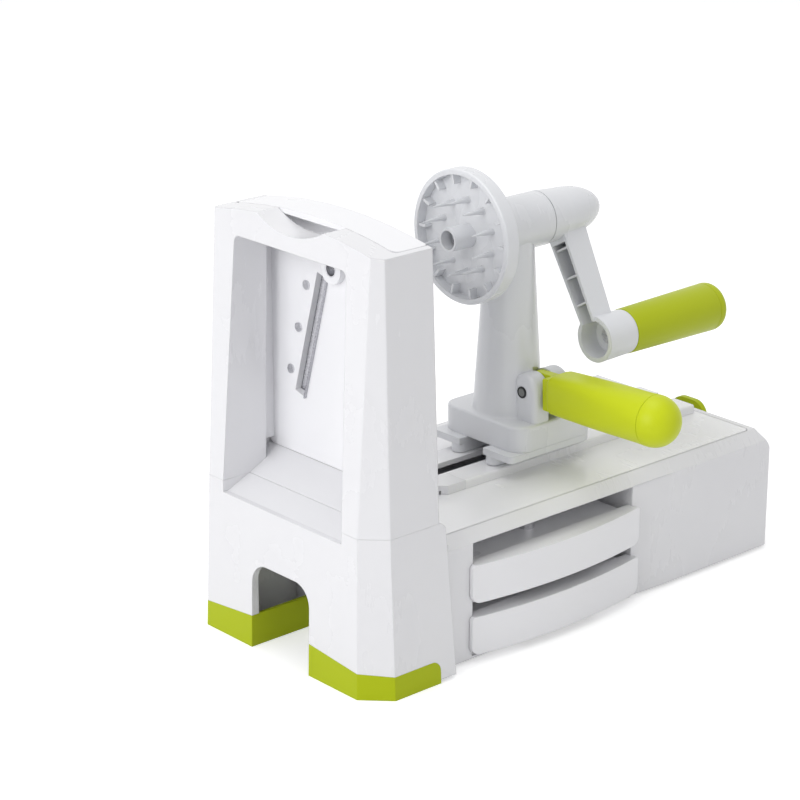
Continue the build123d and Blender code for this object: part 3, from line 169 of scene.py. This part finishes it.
def mixed_colour(tree, share, first, second):
    """Two colours mixed by a share; each is a colour or a socket."""
    node = tree.nodes.new("ShaderNodeMix")
    node.data_type = "RGBA"
    tree.links.new(share, node.inputs["Factor"])
    for socket, colour in ((node.inputs[6], first), (node.inputs[7], second)):
        if isinstance(colour, tuple):
            socket.default_value = (*colour, 1.0)
        else:
            tree.links.new(colour, socket)
    return node.outputs[2]


def mathed(tree, operation, first, second):
    """A maths node on two values; each is a number or a socket."""
    node = tree.nodes.new("ShaderNodeMath")
    node.operation = operation
    for socket, value in zip(node.inputs, (first, second)):
        if isinstance(value, (int, float)):
            socket.default_value = value
        else:
            tree.links.new(value, socket)
    return node.outputs[0]


moulded_skin, group_in, group_out = node_group(
    "moulded_skin",
    [("Vector", "Vector", None), ("Colour", "Color", (1, 1, 1, 1)), ("Flow Colour", "Color", (1, 1, 1, 1)),
     ("Low Roughness", "Float", 0.2), ("High Roughness", "Float", 0.3), ("Peel", "Float", 1.0)],
    [("Colour", "Color"), ("Roughness", "Float"), ("Height", "Float")])
where = group_in.outputs["Vector"]
flow = noise(moulded_skin, stretched(moulded_skin, where, (1.0, 1.0, 0.55)), 14.0, 3.0, 0.55)
peel = noise(moulded_skin, where, 520.0, 1.0)
grain = noise(moulded_skin, where, 2600.0, 2.0, 0.6)
wipes = noise(moulded_skin, stretched(moulded_skin, where, (260.0, 30.0, 55.0)), 1.0, 4.0, 0.6)
flow_share = remap(moulded_skin, flow, 0.32, 0.68, 0.0, 1.0)
moulded_skin.links.new(mixed_colour(moulded_skin, flow_share, group_in.outputs["Colour"],
                                    group_in.outputs["Flow Colour"]), group_out.inputs["Colour"])
gloss = mathed(moulded_skin, "MULTIPLY", flow_share, remap(moulded_skin, wipes, 0.35, 0.75, 0.75, 1.0))
rough = moulded_skin.nodes.new("ShaderNodeMapRange")
moulded_skin.links.new(gloss, rough.inputs["Value"])
moulded_skin.links.new(group_in.outputs["Low Roughness"], rough.inputs["To Min"])
moulded_skin.links.new(group_in.outputs["High Roughness"], rough.inputs["To Max"])
moulded_skin.links.new(rough.outputs["Result"], group_out.inputs["Roughness"])
height = mathed(moulded_skin, "ADD", mathed(moulded_skin, "MULTIPLY", peel, 0.6),
                mathed(moulded_skin, "MULTIPLY", grain, 0.4))
moulded_skin.links.new(mathed(moulded_skin, "MULTIPLY", height, group_in.outputs["Peel"]),
                       group_out.inputs["Height"])


def new_material(name):
    """An empty material, with its tree, its Principled node and its Object coordinates."""
    material = bpy.data.materials.new(name)
    material.use_nodes = True
    tree = material.node_tree
    place = tree.nodes.new("ShaderNodeTexCoord").outputs["Object"]
    return material, tree, tree.nodes["Principled BSDF"], place


def bumped(tree, shader, height, strength, distance, edge=0.0):
    """Feeds a height to the shader's normal, over edges softened by a radius where one is given."""
    bump = tree.nodes.new("ShaderNodeBump")
    bump.inputs["Strength"].default_value = strength
    bump.inputs["Distance"].default_value = distance
    tree.links.new(height, bump.inputs["Height"])
    if edge:
        soft = tree.nodes.new("ShaderNodeBevel")
        soft.samples = 6
        soft.inputs["Radius"].default_value = edge
        tree.links.new(soft.outputs["Normal"], bump.inputs["Normal"])
    tree.links.new(bump.outputs["Normal"], shader.inputs["Normal"])


def moulding(name, colour, flow_colour, roughness, peel, edge, coat):
    """A moulded plastic: two close colours, a range of roughness, its peel and its soft edges."""
    material, tree, shader, place = new_material(name)
    skin = tree.nodes.new("ShaderNodeGroup")
    skin.node_tree = moulded_skin
    tree.links.new(place, skin.inputs["Vector"])
    skin.inputs["Colour"].default_value = (*colour, 1.0)
    skin.inputs["Flow Colour"].default_value = (*flow_colour, 1.0)
    skin.inputs["Low Roughness"].default_value, skin.inputs["High Roughness"].default_value = roughness
    skin.inputs["Peel"].default_value = peel
    tree.links.new(skin.outputs["Colour"], shader.inputs["Base Color"])
    tree.links.new(skin.outputs["Roughness"], shader.inputs["Roughness"])
    shader.inputs["Coat Weight"].default_value = coat
    shader.inputs["Coat Roughness"].default_value = 0.12
    bumped(tree, shader, skin.outputs["Height"], 0.2, 0.00012, edge)
    return material


def dress(material, *names):
    """Puts a finish on CAD nodes."""
    for name in names:
        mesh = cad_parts[name].data
        mesh.materials.clear()
        mesh.materials.append(material)


white_plastic = moulding("white_plastic", (0.80, 0.80, 0.82), (0.79, 0.79, 0.812), (0.25, 0.29), 1.0,
                         0.0007, 0.15)
dress(white_plastic, "base_housing", "front_stop", "base_bottom_cover")
# The deck panel takes a lighter copy of the same white: the extra brightness is painted light on its top
# face.
deck_white_painted_light = moulding("deck_white_painted_light", (0.88, 0.88, 0.90), (0.87, 0.87, 0.892), (0.24, 0.30), 1.0, 0.0007, 0.3)
dress(deck_white_painted_light, "deck_panel")


# ---- Foot shoes ----------------------------------------------------------------------------------
# Two lime green shoes pushed up over the front feet. They are a tougher plastic with a duller skin.
lime_plastic = moulding("lime_plastic", (0.43, 0.51, 0.008), (0.415, 0.495, 0.007), (0.36, 0.42), 1.2,
                        0.0007, 0.0)
lime_plastic.node_tree.nodes["Principled BSDF"].inputs["Specular IOR Level"].default_value = 0.16
dress(lime_plastic, "near_foot_shoe", "far_foot_shoe")


# ---- Rear pads and suction foot ------------------------------------------------------------------
# Two rubber pads at the rear, and a rubber cup that the lime lever at the back pulls up on its rod.
# The rubber is matt with a coarse grain, and the rod is a natural, waxy bearing plastic.
grey_rubber = moulding("grey_rubber", (0.085, 0.088, 0.092), (0.11, 0.112, 0.118), (0.5, 0.68), 2.5,
                       0.0004, 0.0)
dress(grey_rubber, "suction_cup", "rear_feet")
bearing_plastic = moulding("bearing_plastic", (0.55, 0.55, 0.53), (0.50, 0.50, 0.48), (0.38, 0.5), 1.0,
                           0.0003, 0.0)
dress(bearing_plastic, "suction_rod")
dress(lime_plastic, "suction_lever")


# ---- Tower and blade trays -----------------------------------------------------------------------
# The tower is a white portal that holds the tray in use, and two more trays are kept in the base. A
# tray is a white moulding with a curved band, a ground stainless blade, a comb and a core tube.
dress(white_plastic, "tower_frame")
tray_white = moulding("tray_white", (0.88, 0.88, 0.90), (0.865, 0.865, 0.89), (0.27, 0.33), 1.0, 0.0005, 0.1)
dress(tray_white, "fitted_tray", "upper_tray", "lower_tray")


def ground_steel(name, colour, dark, stretch, roughness, edge):
    """Steel with fine grinding lines: noise drawn out along one axis gives tint, gloss and height."""
    material, tree, shader, place = new_material(name)
    lines = noise(tree, stretched(tree, place, stretch), 1.0, 5.0, 0.65)
    cloud = noise(tree, place, 60.0, 2.0)
    tree.links.new(mixed_colour(tree, remap(tree, lines, 0.3, 0.7, 0.0, 1.0), dark, colour),
                   shader.inputs["Base Color"])
    mixed = mathed(tree, "ADD", mathed(tree, "MULTIPLY", lines, 0.6), mathed(tree, "MULTIPLY", cloud, 0.4))
    tree.links.new(remap(tree, mixed, 0.3, 0.7, *roughness), shader.inputs["Roughness"])
    shader.inputs["Metallic"].default_value = 1.0
    bumped(tree, shader, lines, 0.3, 0.00005, edge)
    return material


blade_steel = ground_steel("blade_steel", (0.55, 0.55, 0.58), (0.42, 0.42, 0.45), (900.0, 120.0, 900.0),
                           (0.18, 0.36), 0.0)
turned_steel = ground_steel("turned_steel", (0.74, 0.74, 0.76), (0.60, 0.60, 0.63),
                            (2200.0, 500.0, 500.0), (0.2, 0.38), 0.0002)
dress(blade_steel, "fitted_blade", "upper_blade", "lower_blade", "fitted_comb", "upper_comb")
dress(turned_steel, "fitted_core_tube", "upper_core_tube", "lower_core_tube", "fitted_rivets",
      "upper_rivets", "lower_rivets")


# ---- Carriage ------------------------------------------------------------------------------------
# The column that slides on the track, its slider and keeper, and the dry bearing bushes in its
# barrel. It is the same ABS as the base, with its colour made a touch darker and cooler as painted shade.
carriage_painted_shade_white = moulding("carriage_painted_shade_white", (0.75, 0.76, 0.785), (0.738, 0.748, 0.775), (0.26, 0.31), 1.0,
                          0.0007, 0.12)
dress(carriage_painted_shade_white, "carriage_column", "carriage_slider", "slider_keeper")
dress(bearing_plastic, "front_bush", "rear_bush", "thrust_washer")


# ---- Crank and food holder -----------------------------------------------------------------------
# The arm is a ribbed moulding with a bullet-shaped hub, pressed on a steel shaft that carries the
# toothed disc for the food.
# The arm and the food holder take the same darker, cooler white, which is painted shade.
dress(carriage_painted_shade_white, "crank_arm", "food_holder")
dress(turned_steel, "crank_shaft", "holder_screw", "grip_spindle")


# ---- Crank grip ----------------------------------------------------------------------------------
# A lime sleeve that turns on its spindle, flared a little towards its rounded end, in a softer
# plastic with a matt, fine-grained skin.
packed_shift = np.array([-158.6, 22.218, 0.0])


def placed(points):
    """Points in millimetres from the tower's front seam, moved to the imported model's place, in metres."""
    return (np.asarray(points, dtype=float) + packed_shift) / 1000.0


def rounded_profile(corners, steps=6):
    """A profile as straight runs between corners (along, radius, rounding). Each corner becomes an
    arc that touches both runs: its centre lies on the corner's bisector, and its points are swept
    from one tangent to the other."""
    corners = np.asarray(corners, dtype=float)
    spots, rounding = corners[:, :2], corners[:, 2]
    parts = [spots[:1]]
    for before, corner, after, radius in zip(spots[:-2], spots[1:-1], spots[2:], rounding[1:-1]):
        if radius == 0:
            parts.append(corner[None])
            continue
        to_before = (before - corner) / np.linalg.norm(before - corner)
        to_after = (after - corner) / np.linalg.norm(after - corner)
        half = math.acos(np.clip(to_before @ to_after, -1, 1)) / 2
        bisector = (to_before + to_after) / np.linalg.norm(to_before + to_after)
        centre = corner + bisector * radius / math.sin(half)
        first = corner + to_before * radius / math.tan(half) - centre
        last = corner + to_after * radius / math.tan(half) - centre
        share = np.linspace(0, 1, steps)[:, None]
        swing = math.pi - 2 * half
        parts.append(centre + (first * np.sin((1 - share) * swing) + last * np.sin(share * swing))
                     / math.sin(swing))
    return np.vstack(parts + [spots[-1:]])


def ringed_skin(name, rows, material):
    """A closed skin from rings of points (rings by points by xyz), in metres. Neighbouring rings are
    joined by quads, and one point at the middle of the first and of the last ring closes the ends."""
    rings, count = rows.shape[:2]
    points = np.vstack([rows.reshape(-1, 3), rows[0].mean(axis=0), rows[-1].mean(axis=0)])
    here = np.arange(count)
    beyond = np.roll(here, -1)
    strip = np.stack([here, beyond, beyond + count, here + count], axis=-1)
    quads = (strip[None] + count * np.arange(rings - 1)[:, None, None]).reshape(-1, 4)
    low = np.stack([beyond, here, np.full(count, rings * count)], axis=-1)
    high = np.stack([here, beyond, np.full(count, 1)], axis=-1) + (rings - 1) * count
    high[:, 2] = rings * count + 1
    mesh = bpy.data.meshes.new(name)
    mesh.from_pydata(points.tolist(), [], quads.tolist() + low.tolist() + high.tolist())
    work = bmesh.new()
    work.from_mesh(mesh)
    bmesh.ops.recalc_face_normals(work, faces=work.faces)
    work.to_mesh(mesh)
    work.free()
    mesh.polygons.foreach_set("use_smooth", np.ones(len(mesh.polygons), dtype=bool))
    mesh.set_sharp_from_angle(angle=math.radians(40))
    mesh.materials.append(material)
    piece = bpy.data.objects.new(name, mesh)
    bpy.context.collection.objects.link(piece)
    return piece


def spun(name, start, axis, profile, material, count=96, power=2.0):
    """A profile (along, radius) turned round an axis from a start point, in millimetres. With a power
    above 2 the section is a squared circle: the radius is divided by (|cos|^p + |sin|^p)^(1/p)."""
    axis = np.asarray(axis, dtype=float) / np.linalg.norm(axis)
    side = np.array([1.0, 0.0, 0.0]) if abs(axis[0]) < 0.5 else np.array([0.0, 0.0, 1.0])
    side = side - axis * (side @ axis)
    side /= np.linalg.norm(side)
    other = np.cross(axis, side)
    turn = np.linspace(0, 2 * math.pi, count, endpoint=False)
    power = np.broadcast_to(power, len(profile))[:, None]
    shrink = (np.abs(np.cos(turn)) ** power + np.abs(np.sin(turn)) ** power) ** (1 / power)
    reach = (profile[:, 1:2] / shrink)[:, :, None]
    ring = np.cos(turn)[:, None] * side + np.sin(turn)[:, None] * other
    rows = np.asarray(start) + profile[:, 0][:, None, None] * axis + reach * ring[None]
    return ringed_skin(name, placed(rows), material)


lime_soft = moulding("lime_soft", (0.44, 0.51, 0.007), (0.425, 0.495, 0.006), (0.38, 0.46), 2.2, 0.0, 0.0)
lime_soft.node_tree.nodes["Principled BSDF"].inputs["Specular IOR Level"].default_value = 0.26
grip_y, grip_z = -37.0, 147.414
grip_low, grip_seam, grip_end = 217.9, 285.1, 292.6
low_radius, seam_radius, cap_radius = 12.9, 14.0, 14.1
seam_gap, seam_edge = 0.06, 0.25
sleeve = rounded_profile([(grip_low, 0.0, 0), (grip_low, low_radius, 0.9),
                          (grip_seam - seam_gap, seam_radius, seam_edge), (grip_seam - seam_gap, 0.0, 0)])
crank_sleeve = spun("crank_sleeve", (0, grip_y, grip_z), (1, 0, 0), sleeve, lime_soft)
cap = rounded_profile([(grip_seam + seam_gap, 0.0, 0), (grip_seam + seam_gap, seam_radius, seam_edge),
                       (grip_end - 0.5, cap_radius, 5.0), (grip_end, 0.0, 0)], 12)
crank_sleeve_cap = spun("crank_sleeve_cap", (0, grip_y, grip_z), (1, 0, 0), cap, lime_soft)
for piece, node in ((crank_sleeve, "crank_grip"), (crank_sleeve_cap, "grip_end_cap")):
    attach(piece, "grip")
    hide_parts(node)


# ---- Push handle ---------------------------------------------------------------------------------
# The handle that slides the carriage: a grip that is squared at its root and round at its domed cap,
# with a neck and a flat tongue that turns on a steel pin between the column's two lugs.
# The handle is a lighter copy of the lime plastic: the extra brightness is painted light on the side that
# faces the front lamp.
lime_painted_light = moulding("lime_painted_light", (0.58, 0.66, 0.009), (0.565, 0.645, 0.008), (0.36, 0.44), 2.0, 0.0, 0.0)
lime_painted_light.node_tree.nodes["Principled BSDF"].inputs["Specular IOR Level"].default_value = 0.26
pivot = np.array([170.0, -21.0, 121.5])
pitch = math.radians(2.2)
outward = np.array([0.0, -math.cos(pitch), math.sin(pitch)])
up = np.array([0.0, math.sin(pitch), math.cos(pitch)])
across = np.array([1.0, 0.0, 0.0])
root, seam, tip = 15.0, 86.0, 101.2
root_half, body_radius, dome_length = 11.2, 14.4, 14.5
joint_gap, joint_edge = 0.1, 0.35
bar = rounded_profile([(root, 0.0, 0), (root, root_half, 2.0), (seam - joint_gap, body_radius, joint_edge),
                       (seam - joint_gap, 0.0, 0)])
length = np.linspace(root + 3, seam - 1, 24)
taper = np.column_stack([length, np.interp(length, (root, seam), (root_half, body_radius))])
bar = np.vstack([bar[bar[:, 0] < root + 3], taper, bar[bar[:, 0] > seam - 1]])
round_from = seam - 6
squared = 2.0 + 2.6 * np.clip((round_from - bar[:, 0]) / (round_from - root), 0, 1) ** 1.2
push_bar = spun("push_bar", pivot, outward, bar, lime_painted_light, 128, squared)
shoulder = tip - dome_length
sweep = np.linspace(0, math.pi / 2, 22)[1:]
dome = np.column_stack([shoulder + dome_length * np.sin(sweep), body_radius * np.cos(sweep)])
dome[-1, 1] = 0.0
cap = rounded_profile([(seam + joint_gap, 0.0, 0), (seam + joint_gap, body_radius, joint_edge),
                       (shoulder, body_radius, 0), (tip, body_radius, 0)])
cap = np.vstack([cap[cap[:, 0] <= shoulder], dome])
push_cap = spun("push_cap", pivot, outward, cap, lime_painted_light, 128)


def plate(name, outline, half, edge, frame_axes, material):
    """A flat plate from an outline (along, up) in a plane, with its two rims rounded off: rings of the
    outline, drawn in by 1 - sin and pushed out by cos of an angle that runs round each rim."""
    centre, along, up, across = frame_axes
    middle = outline.mean(axis=0)
    spread = np.linalg.norm(outline - middle, axis=1).max()
    turn = np.linspace(0, math.pi / 2, 5)
    inset = np.concatenate([edge * (1 - np.sin(turn)), edge * (1 - np.cos(turn))])
    side = np.concatenate([-half + edge * (1 - np.cos(turn)), half - edge * (1 - np.sin(turn))])
    scale = 1 - inset / spread
    flat = middle + (outline - middle)[None] * scale[:, None, None]
    rows = centre + flat[..., :1] * along + flat[..., 1:] * up + side[:, None, None] * across
    return ringed_skin(name, placed(rows), material)


handle_axes = (pivot, outward, up, across)
tongue_radius, tongue_half = 9.3, 3.1
neck_start, neck_end, neck_half = 11.0, 17.0, 9.6
round_end = np.linspace(math.pi / 2, 3 * math.pi / 2, 40)
tongue_outline = np.vstack([tongue_radius * np.column_stack([np.cos(round_end), np.sin(round_end)]),
                            [(neck_end, -tongue_radius), (neck_end, tongue_radius)]])
push_tongue = plate("push_tongue", tongue_outline, tongue_half, 0.6, handle_axes, lime_painted_light)
neck_outline = rounded_profile([(13.0, -tongue_radius, 0), (neck_start, -tongue_radius, 0.8),
                                (neck_start, tongue_radius, 0.8), (neck_end, tongue_radius, 0.2),
                                (neck_end, -tongue_radius, 0.2), (13.0, -tongue_radius, 0)])[:-1]
push_neck = plate("push_neck", neck_outline, neck_half, 0.8, handle_axes, lime_painted_light)
for piece, node in ((push_bar, "push_handle"), (push_tongue, "push_handle"), (push_neck, "push_handle"),
                    (push_cap, "handle_end_cap")):
    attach(piece, "handle")
    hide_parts(node)


def pin_with_painted_gap_shadow(name, centre, rim):
    """A dulled steel pin along X through a centre, with a painted shadow past a rim radius (in metres): the
    near-black ring stands in for the shade in the gap round the pin head.
    """
    material, tree, shader, place = new_material(name)
    offset, flat, from_axis = (tree.nodes.new("ShaderNodeVectorMath") for _ in range(3))
    offset.operation, flat.operation, from_axis.operation = "SUBTRACT", "MULTIPLY", "LENGTH"
    offset.inputs[1].default_value = placed(centre)
    flat.inputs[1].default_value = (0.0, 1.0, 1.0)
    tree.links.new(place, offset.inputs[0])
    tree.links.new(offset.outputs[0], flat.inputs[0])
    tree.links.new(flat.outputs[0], from_axis.inputs[0])
    rings = noise(tree, stretched(tree, place, (300.0, 900.0, 900.0)), 1.0, 4.0, 0.6)
    ring_share = remap(tree, rings, 0.3, 0.7, 0.0, 1.0)
    face_grey = mixed_colour(tree, ring_share, (0.20, 0.205, 0.20), (0.15, 0.155, 0.15))
    # Painted shadow: past the rim radius the colour goes near black, for the shade in the gap between the pin
    # head and its hole.
    gap_shadow_share = remap(tree, from_axis.outputs["Value"], rim, rim + 0.0004, 0.0, 1.0)
    tree.links.new(mixed_colour(tree, gap_shadow_share, face_grey, (0.022, 0.024, 0.023)),
                   shader.inputs["Base Color"])
    tree.links.new(remap(tree, rings, 0.3, 0.7, 0.34, 0.5), shader.inputs["Roughness"])
    shader.inputs["Metallic"].default_value = 0.6
    bumped(tree, shader, rings, 0.3, 0.00005, 0.0002)
    return material


pin_steel_painted_gap_shadow = pin_with_painted_gap_shadow("pin_steel_painted_gap_shadow", pivot, 0.0021)
dress(pin_steel_painted_gap_shadow, "handle_pin")


# ---- Screws and pins -----------------------------------------------------------------------------
# Plated steel screws that hold the tower, the cover, the carriage and the keeper, and the two pins
# of the suction foot.
dress(turned_steel, "lever_pin", "rod_pin", "cover_screws", "tower_screws", "carriage_screws",
      "keeper_screws")
